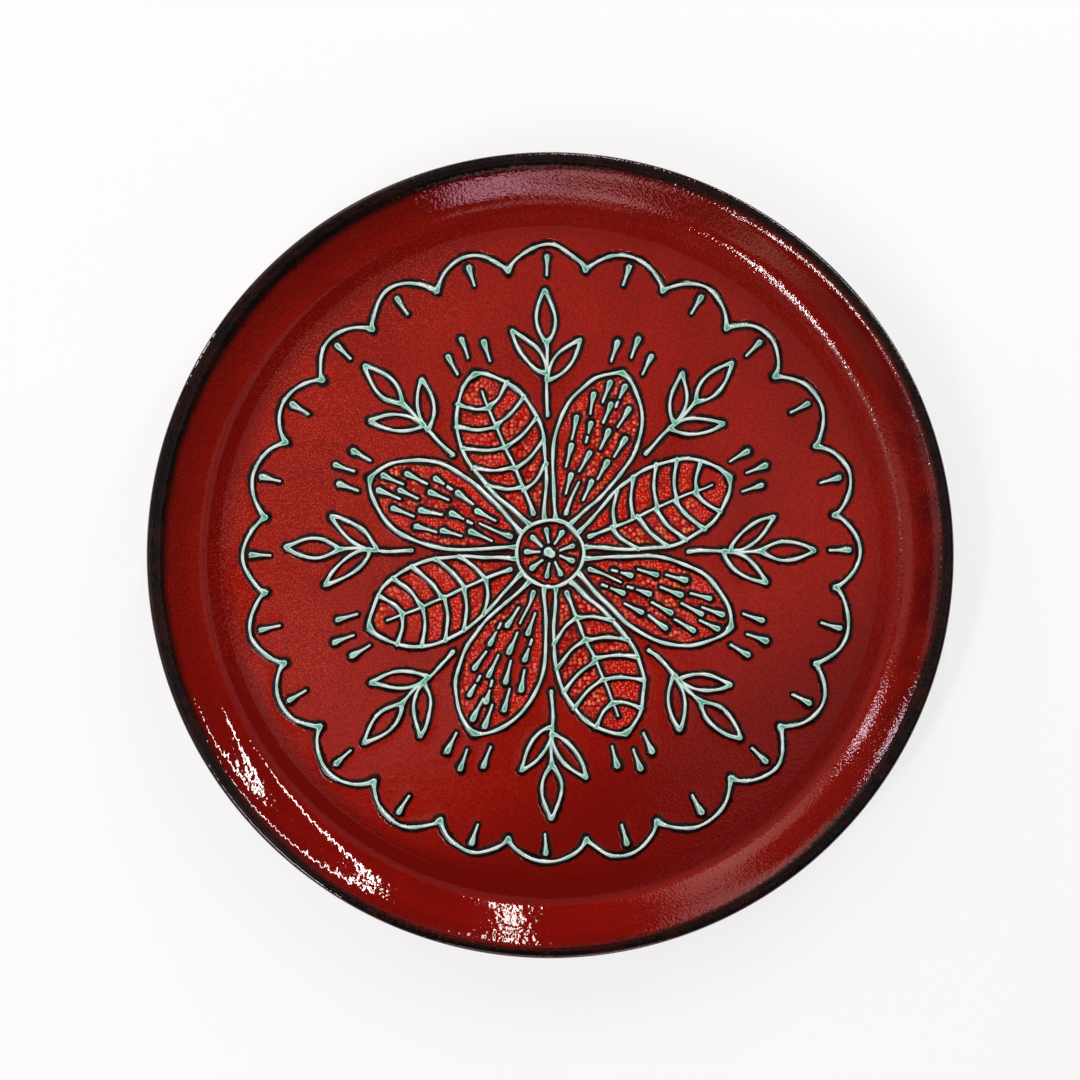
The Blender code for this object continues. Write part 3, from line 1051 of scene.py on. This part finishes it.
class Graph:
    """Adds nodes to one material and joins them."""

    def __init__(self, name):
        self.material = bpy.data.materials.new(name)
        self.material.use_nodes = True
        self.tree = self.material.node_tree
        self.tree.nodes.clear()

    def add(self, kind, links=None, **settings):
        """A node with these settings, whose inputs take a socket or a value by name."""
        made = self.tree.nodes.new(kind)
        for key, value in settings.items():
            setattr(made, key, value)
        for key, value in (links or {}).items():
            self.put(made.inputs[key], value)
        return made

    def put(self, socket, value):
        """Link a socket, or set it to a plain value or a colour."""
        if isinstance(value, bpy.types.NodeSocket):
            self.tree.links.new(value, socket)
        elif socket.type == "RGBA":
            socket.default_value = (*value, 1.0)
        else:
            socket.default_value = value

    def attribute(self, name):
        """A vertex attribute's value."""
        return self.add("ShaderNodeAttribute", attribute_name=name).outputs["Fac"]

    def math(self, operation, first, second=0.5, third=0.5):
        """One step of arithmetic."""
        made = self.add("ShaderNodeMath", operation=operation)
        for socket, value in zip(made.inputs, (first, second, third)):
            self.put(socket, value)
        return made.outputs[0]

    def times(self, *values):
        """The product of these values."""
        return functools.reduce(lambda one, other: self.math("MULTIPLY", one, other), values)

    def most(self, *values):
        """The largest of these values."""
        return functools.reduce(lambda one, other: self.math("MAXIMUM", one, other), values)

    def shifted(self, noise, reach, value):
        """A value moved up or down by noise, over a reach that has the value in its middle."""
        moved = self.math("MULTIPLY_ADD", noise, reach, -reach / 2)
        return self.math("ADD", moved, value)

    def step(self, value, low, high, start=0.0, end=1.0):
        """A smooth step from start to end while value goes from low to high."""
        made = self.add(
            "ShaderNodeMapRange",
            {"Value": value, "From Min": low, "From Max": high, "To Min": start, "To Max": end},
            interpolation_type="SMOOTHSTEP",
        )
        return made.outputs["Result"]

    def mix(self, share_of_second, first, second):
        """Two colours mixed; the node's inputs 6 and 7 are its two colours."""
        made = self.add("ShaderNodeMix", data_type="RGBA")
        self.put(made.inputs["Factor"], share_of_second)
        self.put(made.inputs[6], first)
        self.put(made.inputs[7], second)
        return made.outputs[2]

    def noise(self, place, pitch, detail=2.0, roughness=0.5):
        """Noise whose bumps are about one pitch in metres apart."""
        links = {"Vector": place, "Scale": 1.0 / pitch, "Detail": detail, "Roughness": roughness}
        return self.add("ShaderNodeTexNoise", links).outputs["Fac"]

    def voronoi(self, place, pitch, randomness, feature="F1"):
        """Upright cells about one pitch in metres across, seen from above."""
        links = {"Vector": place, "Scale": 1.0 / pitch, "Randomness": randomness}
        return self.add("ShaderNodeTexVoronoi", links, feature=feature, voronoi_dimensions="2D")

    def speck(self, place, name):
        """A round dot in the middle of each cell, weak or strong by the cell's own number."""
        pitch, randomness, edge, luck = SPECKS[name]
        cells = self.voronoi(place, pitch, randomness)
        own = self.add("ShaderNodeSeparateColor", {"Color": cells.outputs["Color"]}).outputs[0]
        return self.times(self.step(cells.outputs["Distance"], *edge), self.step(own, *luck))

    def patch(self, place, name):
        """A drifting patch, as noise that fades in or out."""
        pitch, detail, roughness, *fade = PATCHES[name]
        return self.step(self.noise(place, pitch, detail, roughness), *fade)

    def ring(self, place, name):
        """A change from ring to ring, by the distance from the axis."""
        out = self.add("ShaderNodeVectorMath", {0: place}, operation="LENGTH")
        return self.step(out.outputs["Value"], *RINGS[name])

    def side(self, place, name):
        """A change across the platter, by how far a place lies along a level direction."""
        direction, *change = SIDES[name]
        links = {0: place, 1: (*direction, 0.0)}
        along = self.add("ShaderNodeVectorMath", links, operation="DOT_PRODUCT")
        return self.step(along.outputs["Value"], *change)

    def bump(self, height, metres):
        """The normal of a surface with this height, where 1 stands for so many metres."""
        links = {"Height": height, "Strength": 1.0, "Distance": metres}
        return self.add("ShaderNodeBump", links).outputs["Normal"]

    def finish(self, links, **fixed):
        """Join a shader with these inputs and these fixed values to the output."""
        shader = self.add("ShaderNodeBsdfPrincipled", links)
        for key, value in fixed.items():
            shader.inputs[key.replace("_", " ")].default_value = value
        output = self.add("ShaderNodeOutputMaterial")
        self.tree.links.new(shader.outputs["BSDF"], output.inputs["Surface"])
        return self.material


def froth(graph, place, tint, light):
    """Large cells: a round light patch in each, and a dark net between them."""
    pitch, randomness = SPECKS["froth"][:2]
    edge = graph.voronoi(place, pitch, randomness, "DISTANCE_TO_EDGE").outputs["Distance"]
    net = graph.mix(graph.step(edge, *NET_EDGE), tint.cell_dark, tint.cell_net)
    return graph.mix(graph.speck(place, "froth"), net, light)


def wall_red(graph, place, tint):
    """The red on the wall: light on the near side; round the rest a lighter, hazier red, painted
    light and a faint painted reflection, which painted shade darkens outwards.

    It drifts a little towards a smoky red, and is darker in patches high on the wall on the right.
    """
    far = graph.side(place, "wall_far")
    high = graph.times(graph.ring(place, "darker_high"), graph.patch(place, "high_patches"))
    # Smoke patches, darker patches high on the right, painted shade outwards on the far wall, and
    # the darkening under the rim.
    smoky = graph.most(
        graph.patch(place, "smoke"),
        graph.times(graph.side(place, "darker_right"), high),
        graph.times(graph.ring(place, "darker_outward"), far),
        graph.ring(place, "smoky_edge"),
    )
    return graph.mix(smoky, graph.mix(far, tint.red_wall, tint.red_far_lit), tint.red_smoke_and_shade)


def ground_red(graph, place, tint):
    """The plain red: light on the floor and deep where it has gathered.

    It gathers in slow clouds and is darker towards the near right side. Where the floor turns
    up it is painted darker, as painted shade in the crease.
    """
    cloud = graph.times(graph.patch(place, "gathered"), graph.side(place, "clear_near_left"))
    # Darker in slow clouds and towards the near right side.
    thick = graph.most(cloud, graph.side(place, "darker_near_right"))
    ground = graph.mix(thick, tint.red_light, tint.red_deep)
    # Painted shade in the crease where the floor turns up, weaker on the far right.
    turn_up = graph.times(graph.ring(place, "turn_up"), graph.side(place, "lighter_crease_far_right"))
    ground = graph.mix(turn_up, ground, tint.red_deep)
    ground = graph.mix(graph.ring(place, "wall"), ground, wall_red(graph, place, tint))
    return graph.mix(graph.patch(place, "grain"), ground, tint.cell_dark)


def fleck_share(graph, place):
    """How strong the fine light flecks are.

    They are dense on the far left of the floor and few on the near right.
    """
    return graph.times(
        graph.speck(place, "flecks"),
        graph.side(place, "flecked_left"),
        graph.side(place, "flecked_far"),
        graph.patch(place, "flecks"),
        graph.ring(place, "flecked_floor"),
    )


def red_glaze(graph, tint):
    """The red glaze's colour: ground, fine flecks and the parted cells.

    The cells are froth in some patches, and in others small dots on the red between them.
    """
    place = graph.add("ShaderNodeTexCoord").outputs["Object"]
    ground = graph.mix(fleck_share(graph, place), ground_red(graph, place, tint), tint.red_fleck)
    light = graph.mix(graph.patch(place, "orange"), tint.cell_red, tint.cell_orange)
    dots = graph.mix(graph.speck(place, "dots"), tint.cell_net, light)
    parted = graph.mix(graph.patch(place, "froth"), dots, froth(graph, place, tint, light))
    parted = graph.mix(graph.patch(place, "dusk"), parted, tint.cell_dark)
    parted = graph.mix(graph.patch(place, "parted"), tint.red_light, parted)
    return place, graph.mix(graph.attribute("cells"), ground, parted)


def glaze_bump(graph, place):
    """The orange-peel skin of a glaze as a normal: fine grains on broad, shallow dimples.

    The grains deepen from left to right, and again at the back, on the far right and on the
    near right side.
    The dimples fade from left to right, and are shallow on the floor and deep under the lip.
    """
    depth = graph.side(place, "grained_right")
    for side in ("back_left", "back", "far_right", "near_right"):
        depth = graph.math("ADD", depth, graph.side(place, "grained_" + side))
    grains = graph.times(graph.noise(place, GRAIN_PITCH, 1.0), depth)
    depth = graph.times(
        graph.side(place, "dimpled_left"),
        graph.ring(place, "dimpled_wall"),
        graph.ring(place, "dimpled_under_lip"),
    )
    height = graph.math("MULTIPLY_ADD", graph.noise(place, DIMPLE_PITCH, 1.0), depth, grains)
    return graph.bump(height, SKIN_HEIGHT)


def body_glaze(tint):
    """The body's finish: red glaze inside, dark glaze on the rim and outside, a bare foot."""
    graph = Graph("platter_glaze")
    place, red = red_glaze(graph, tint)
    slow = graph.noise(place, SLOW_PITCH)
    shifted = graph.shifted(slow, SLOW_SHIFT, graph.attribute("rim"))
    shifted = graph.shifted(graph.noise(place, FINE_PITCH, 3.0, 0.6), FINE_SHIFT, shifted)
    dark = graph.mix(graph.step(slow, *RIM_WARMTH), tint.rim, tint.rim_warm)
    coloured = graph.mix(graph.step(shifted, *RIM_EDGE), red, dark)
    clay = graph.step(graph.attribute("clay"), 0.3, 0.7)
    clay_tone = graph.mix(graph.noise(place, CLAY_PITCH, 4.0, 0.7), tint.clay, CLAY_DARK)
    rough = graph.most(graph.patch(place, "roughness"), graph.times(clay, CLAY_ROUGH))
    links = {
        "Base Color": graph.mix(clay, coloured, clay_tone),
        "Roughness": rough,
        "Normal": glaze_bump(graph, place),
    }
    return graph.finish(links, Metallic=0.0, IOR=1.5)


def line_glaze(tint):
    """The strokes' finish: green glaze on the crest, a black band, then the red ground."""
    graph = Graph("trailed_glaze")
    place, red = red_glaze(graph, tint)
    zone, pool = graph.attribute("zone"), graph.attribute("pool")
    flow = graph.noise(place, RIPPLE_PITCH, 2.0, 0.6)
    deep = graph.times(graph.step(zone, *CREST_MIDDLE), graph.math("ADD", pool, UNPOOLED))
    deep = graph.shifted(flow, SHADE_SHIFT, deep)
    green = graph.mix(graph.step(deep, *PALE_TO_MID), tint.line_pale, tint.line_mid)
    green = graph.mix(graph.step(deep, *MID_TO_POOL), green, tint.line_pool)
    ragged = graph.shifted(graph.noise(place, BAND_PITCH), BAND_SHIFT, zone)
    beside = graph.mix(graph.step(ragged, *BAND_FADE), tint.halo, red)
    links = {
        "Base Color": graph.mix(graph.step(zone, *BAND_START), green, beside),
        "Roughness": graph.step(zone, *LINE_ROUGHNESS),
        "Normal": graph.bump(graph.noise(place, RIPPLE_PITCH, 1.0), RIPPLE_HEIGHT),
    }
    return graph.finish(links, Metallic=0.0, IOR=1.5)


def table_paint(tint):
    """The pale floor's even finish, which shines a little by itself."""
    links = {"Base Color": tint.table, "Emission Color": (1.0, 1.0, 1.0)}
    fixed = {"Roughness": 0.9, "Specular_IOR_Level": 0.0, "Emission_Strength": 0.75}
    return Graph("table").finish(links, **fixed)


# ---------------------------------------------------------------------------------------
# The stage
# ---------------------------------------------------------------------------------------

# The camera: its distance in metres, its angle above the level in degrees, the platter's share
# of the picture's width, how far the platter stands to the right of the picture's middle and
# below it in shares of that width, and the sensor's width in mm.
DISTANCE = 1.10
ELEVATION = 87.0
FRAME_SHARE = 0.7485
CENTRE_OFF = (0.0095, 0.0105)
SENSOR = 36.0

# How far off the lights are and how far each ceiling patch hangs above the last, in metres.
LIGHT_DISTANCE = 1.6
CEILING_STEP = 0.004

# How bright the white room is for the platter and for the camera, and half the side of the
# pale floor in mm.
ROOM_DIM, ROOM_SEEN = 0.03, 0.93
TABLE_HALF = 20000.0

CEILING_TONE = (1.0, 0.92, 0.86)
OVER_TONE = (1.0, 0.96, 0.94)

# Each light runs from one direction to another, as azimuth and zenith angle in degrees seen
# from the platter, with azimuth 0 at +X, 90 at -Y and 270 at +Y. Then its width in metres, its
# radiance and its colour. The wall mirrors most of them. Those called over_ are the dim parts
# of the ceiling that the foot of the wall mirrors.
LIGHTS = {
    "tall_strip": ((277.0, 38.0), (277.0, 64.0), 0.062, 28.0, (1.0, 0.92, 0.87)),
    "tall_strip_foot": ((276.0, 64.0), (276.0, 88.0), 0.055, 24.0, (1.0, 0.92, 0.87)),
    "slanting_tube": ((320.0, 41.0), (297.0, 88.0), 0.055, 34.0, (1.0, 0.97, 0.94)),
    "second_tube": ((331.0, 72.0), (318.0, 88.0), 0.06, 34.0, (1.0, 0.97, 0.94)),
    "near_window": ((81.0, 72.0), (81.0, 88.0), 0.38, 5.2, (1.0, 0.58, 0.76)),
    "near_window_low": ((87.0, 38.0), (87.0, 50.0), 0.56, 1.4, (1.0, 0.60, 0.62)),
    "near_window_side": ((98.0, 60.0), (98.0, 80.0), 0.40, 3.6, (1.0, 0.56, 0.56)),
    "high_tube": ((124.5, 55.0), (147.0, 33.0), 0.09, 42.0, (1.0, 0.96, 0.98)),
    "high_tube_end": ((150.0, 38.0), (184.0, 36.0), 0.20, 2.0, (1.0, 0.80, 0.76)),
    "brown_door": ((119.0, 74.0), (133.0, 86.0), 0.15, 1.5, (1.0, 0.60, 0.38)),
    "brown_wall": ((134.0, 80.0), (160.0, 80.0), 0.28, 0.25, (1.0, 0.60, 0.50)),
    "far_window": ((211.8, 50.0), (211.8, 76.0), 0.09, 19.0, (1.0, 0.84, 1.0)),
    "pale_wall": ((233.0, 37.0), (233.0, 74.0), 0.42, 1.3, (1.0, 0.62, 0.58)),
    "pale_wall_edge": ((246.0, 37.0), (246.0, 88.0), 0.31, 1.45, (1.0, 0.70, 0.66)),
    "left_wall": ((182.0, 44.0), (182.0, 74.0), 0.90, 0.50, (1.0, 0.84, 0.80)),
    "over_right": ((0.0, 17.0), (0.0, 36.0), 0.60, 0.20, OVER_TONE),
    "over_far_right": ((315.0, 17.0), (315.0, 36.0), 0.50, 0.11, OVER_TONE),
    "over_far": ((270.0, 17.0), (270.0, 36.0), 0.60, 0.13, OVER_TONE),
    "over_far_left": ((225.0, 17.0), (225.0, 36.0), 0.50, 0.22, OVER_TONE),
    "over_left": ((183.0, 17.0), (183.0, 36.0), 0.50, 0.25, OVER_TONE),
    "over_near_left": ((150.0, 20.0), (150.0, 36.0), 0.28, 0.75, OVER_TONE),
    "over_near": ((122.0, 17.0), (122.0, 36.0), 0.30, 0.11, OVER_TONE),
}

# The ceiling that the flat floor mirrors, dark only where somebody would stand: for each patch
# its outline, the middle and size on the floor that mirrors it, in shares of the platter's
# radius, and its radiance. The three ellipses lie in one another and so have a soft edge. No
# two patches hang at one height, because lights in one plane hide each other.
CEILING = {
    "ceiling_back": ("RECTANGLE", (0.0, 0.62), (1.76, 0.52), 0.20),
    "ceiling_left": ("RECTANGLE", (-0.56, 0.17), (0.64, 0.38), 0.22),
    "ceiling_right": ("RECTANGLE", (0.60, -0.15), (0.56, 1.02), 0.28),
    "ceiling_near_left": ("ELLIPSE", (-0.46, -0.30), (0.76, 0.70), 0.11),
    "ceiling_near_left_inner": ("ELLIPSE", (-0.46, -0.30), (0.66, 0.60), 0.11),
    "ceiling_near_left_core": ("ELLIPSE", (-0.46, -0.30), (0.56, 0.50), 0.11),
}


def toward(azimuth, zenith):
    """The unit direction at an azimuth, counted from +X towards -Y, and a zenith angle."""
    around, down = math.radians(azimuth), math.radians(zenith)
    return Vector((
        math.cos(around) * math.sin(down), -math.sin(around) * math.sin(down), math.cos(down)
    ))


def hang_light(name, middle, along, across, radiance, tone, outline="RECTANGLE"):
    """A light with these two sides, or as an ellipse these two axes, round its middle.

    It shines away from the side that its two sides' cross product points to. Its power is
    its radiance times pi times its area. The camera doesn't see it, but the glaze does.
    """
    lamp = bpy.data.lights.new(name, "AREA")
    lamp.shape = outline
    lamp.size, lamp.size_y = along.length, across.length
    area = lamp.size * lamp.size_y * (1.0 if outline == "RECTANGLE" else math.pi / 4.0)
    lamp.energy = radiance * math.pi * area
    lamp.color = tone
    holder = bpy.data.objects.new(name, lamp)
    sides = along.normalized(), across.normalized()
    turn = Matrix((*sides, sides[0].cross(sides[1]))).transposed().to_4x4()
    holder.matrix_world = Matrix.Translation(middle) @ turn
    holder.visible_camera = False
    bpy.context.scene.collection.objects.link(holder)


def place_light(name, start, end, width, radiance, tone, target):
    """A light between two directions, facing the target."""
    ends = [target + toward(*side) * LIGHT_DISTANCE for side in (start, end)]
    middle = (ends[0] + ends[1]) / 2
    along = ends[1] - ends[0]
    across = (middle - target).cross(along).normalized() * width
    hang_light(name, middle, along, across, radiance, tone)


def place_ceiling(name, level, outline, spot, span, radiance, radius, eye):
    """A level light that the floor's patch at spot mirrors towards the eye.

    A ray from the eye to a floor point goes on, mirrored, as far again as the light's height
    is to the eye's, so places on the floor grow by 1 + that ratio and shift away from the eye.
    The level says how many steps the light hangs above the first.
    """
    ratio = LIGHT_DISTANCE / eye.z
    grown = radius * (1.0 + ratio)
    middle = Vector((*spot, 0.0)) * grown - eye * ratio
    middle.z = LIGHT_DISTANCE + level * CEILING_STEP
    sides = Vector((span[0] * grown, 0.0, 0.0)), Vector((0.0, span[1] * grown, 0.0))
    hang_light(name, middle, *sides, radiance, CEILING_TONE, outline)


def place_camera(radius, target):
    """A camera over the platter that frames it at its share of the picture's width.

    Returns where it stands.
    """
    camera = bpy.data.cameras.new("camera")
    width = 2.0 * radius / FRAME_SHARE
    camera.sensor_width = SENSOR
    camera.lens = camera.sensor_width * DISTANCE / width
    holder = bpy.data.objects.new("camera", camera)
    tilt = math.radians(90.0 - ELEVATION)
    aim = target + Vector((-CENTRE_OFF[0] * width, CENTRE_OFF[1] * width, 0.0))
    holder.location = aim + Vector((0.0, -math.sin(tilt), math.cos(tilt))) * DISTANCE
    holder.rotation_euler = (tilt, 0.0, 0.0)
    bpy.context.scene.collection.objects.link(holder)
    bpy.context.scene.camera = holder
    return holder.location.copy()


def dim_room():
    """A world that is pale to the camera and dim to everything else."""
    world = bpy.data.worlds.new("room")
    world.use_nodes = True
    tree = world.node_tree
    seen = tree.nodes.new("ShaderNodeLightPath").outputs["Is Camera Ray"]
    level = tree.nodes.new("ShaderNodeMapRange")
    level.inputs["To Min"].default_value = ROOM_DIM
    level.inputs["To Max"].default_value = ROOM_SEEN
    tree.links.new(seen, level.inputs["Value"])
    tree.links.new(level.outputs["Result"], tree.nodes["Background"].inputs["Strength"])
    tree.nodes["Background"].inputs["Color"].default_value = (1.0, 1.0, 1.0, 1.0)
    return world


def add_table(tint):
    """The pale floor under the platter."""
    corners = np.array([(-1, -1, 0), (1, -1, 0), (1, 1, 0), (-1, 1, 0)]) * TABLE_HALF
    faces = np.array([(0, 1, 2), (0, 2, 3)])
    table = build_mesh("table", corners, faces, {}, table_paint(tint))


# ---------------------------------------------------------------------------------------
# Operators
# ---------------------------------------------------------------------------------------


def settings_of(context):
    """The user's settings, the strokes and the floor that carries them."""
    settings = context.scene.platter
    groups = ornament(settings.ornament)
    return settings, groups, Floor(settings, groups)


def shared_material(name, maker, tint):
    """A material by name, made once."""
    return bpy.data.materials.get(name) or maker(tint)


class PLATTER_OT_turn_body(bpy.types.Operator):
    """Turn the glazed body of the platter"""

    bl_idname = "platter.turn_body"
    bl_label = "Turn the Body"

    def execute(self, context):
        settings, _, floor = settings_of(context)
        glaze = shared_material("platter_glaze", body_glaze, settings.colours)
        piece = build_mesh("glazed_body", *turned_body(floor), glaze, SHARP_DEGREES)
        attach(piece, BODY)
        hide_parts(NODE)
        return {"FINISHED"}


class TrailStrokes:
    """What the operators share that trail one group of strokes."""

    group = ""

    def execute(self, context):
        settings, groups, floor = settings_of(context)
        glaze = shared_material("trailed_glaze", line_glaze, settings.colours)
        seed = list(groups).index(self.group)
        piece = build_mesh(self.group, *ridge(groups[self.group], floor, seed), glaze)
        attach(piece, BODY)
        return {"FINISHED"}


class PLATTER_OT_trail_medallion(TrailStrokes, bpy.types.Operator):
    """Trail the ring and drops in the middle"""

    bl_idname = "platter.trail_medallion"
    bl_label = "Trail the Medallion"
    group = "medallion_lines"


class PLATTER_OT_trail_petals(TrailStrokes, bpy.types.Operator):
    """Trail the petals, their veins and their drops"""

    bl_idname = "platter.trail_petals"
    bl_label = "Trail the Petals"
    group = "petal_lines"


class PLATTER_OT_trail_sprigs(TrailStrokes, bpy.types.Operator):
    """Trail the sprigs between the petals"""

    bl_idname = "platter.trail_sprigs"
    bl_label = "Trail the Sprigs"
    group = "sprig_lines"


class PLATTER_OT_trail_border(TrailStrokes, bpy.types.Operator):
    """Trail the scalloped border"""

    bl_idname = "platter.trail_border"
    bl_label = "Trail the Border"
    group = "border_lines"


class PLATTER_OT_set_stage(bpy.types.Operator):
    """Set the pale floor, the lights and the camera"""

    bl_idname = "platter.set_stage"
    bl_label = "Set the Stage"

    def execute(self, context):
        settings = context.scene.platter
        add_table(settings.colours)
        middle = (LOWEST + HIGHEST) / 2
        for name, light in LIGHTS.items():
            place_light(name, *light, middle)
        radius = settings.shape.outer_radius
        eye = place_camera(radius, Vector((0.0, 0.0, HIGHEST.z)))
        for level, (name, patch) in enumerate(CEILING.items()):
            place_ceiling(name, level, *patch, radius, eye)
        context.scene.world = dim_room()
        context.scene.view_settings.view_transform = "Standard"
        return {"FINISHED"}


OPERATORS = (
    PLATTER_OT_turn_body,
    PLATTER_OT_trail_medallion,
    PLATTER_OT_trail_petals,
    PLATTER_OT_trail_sprigs,
    PLATTER_OT_trail_border,
    PLATTER_OT_set_stage,
)


class PLATTER_PT_sidebar(bpy.types.Panel):
    """The platter's operators in the 3D view's sidebar"""

    bl_idname = "PLATTER_PT_sidebar"
    bl_label = "Platter"
    bl_space_type = "VIEW_3D"
    bl_region_type = "UI"
    bl_category = "Platter"

    def draw(self, context):
        for operator in OPERATORS:
            self.layout.operator(operator.bl_idname)


GROUPS = (BodyShape, OrnamentShape, GlazeColours, PlatterSettings)


def register():
    """Register the settings, the operators and the panel."""
    for made in GROUPS + OPERATORS + (PLATTER_PT_sidebar,):
        bpy.utils.register_class(made)
    bpy.types.Scene.platter = PointerProperty(type=PlatterSettings)


def unregister():
    """Take back what register() did."""
    del bpy.types.Scene.platter
    for made in reversed(GROUPS + OPERATORS + (PLATTER_PT_sidebar,)):
        bpy.utils.unregister_class(made)


def main():
    """Build every piece."""
    register()
    bpy.ops.platter.turn_body()
    bpy.ops.platter.trail_medallion()
    bpy.ops.platter.trail_petals()
    bpy.ops.platter.trail_sprigs()
    bpy.ops.platter.trail_border()
    bpy.ops.platter.set_stage()


if __name__ == "__main__":
    main()
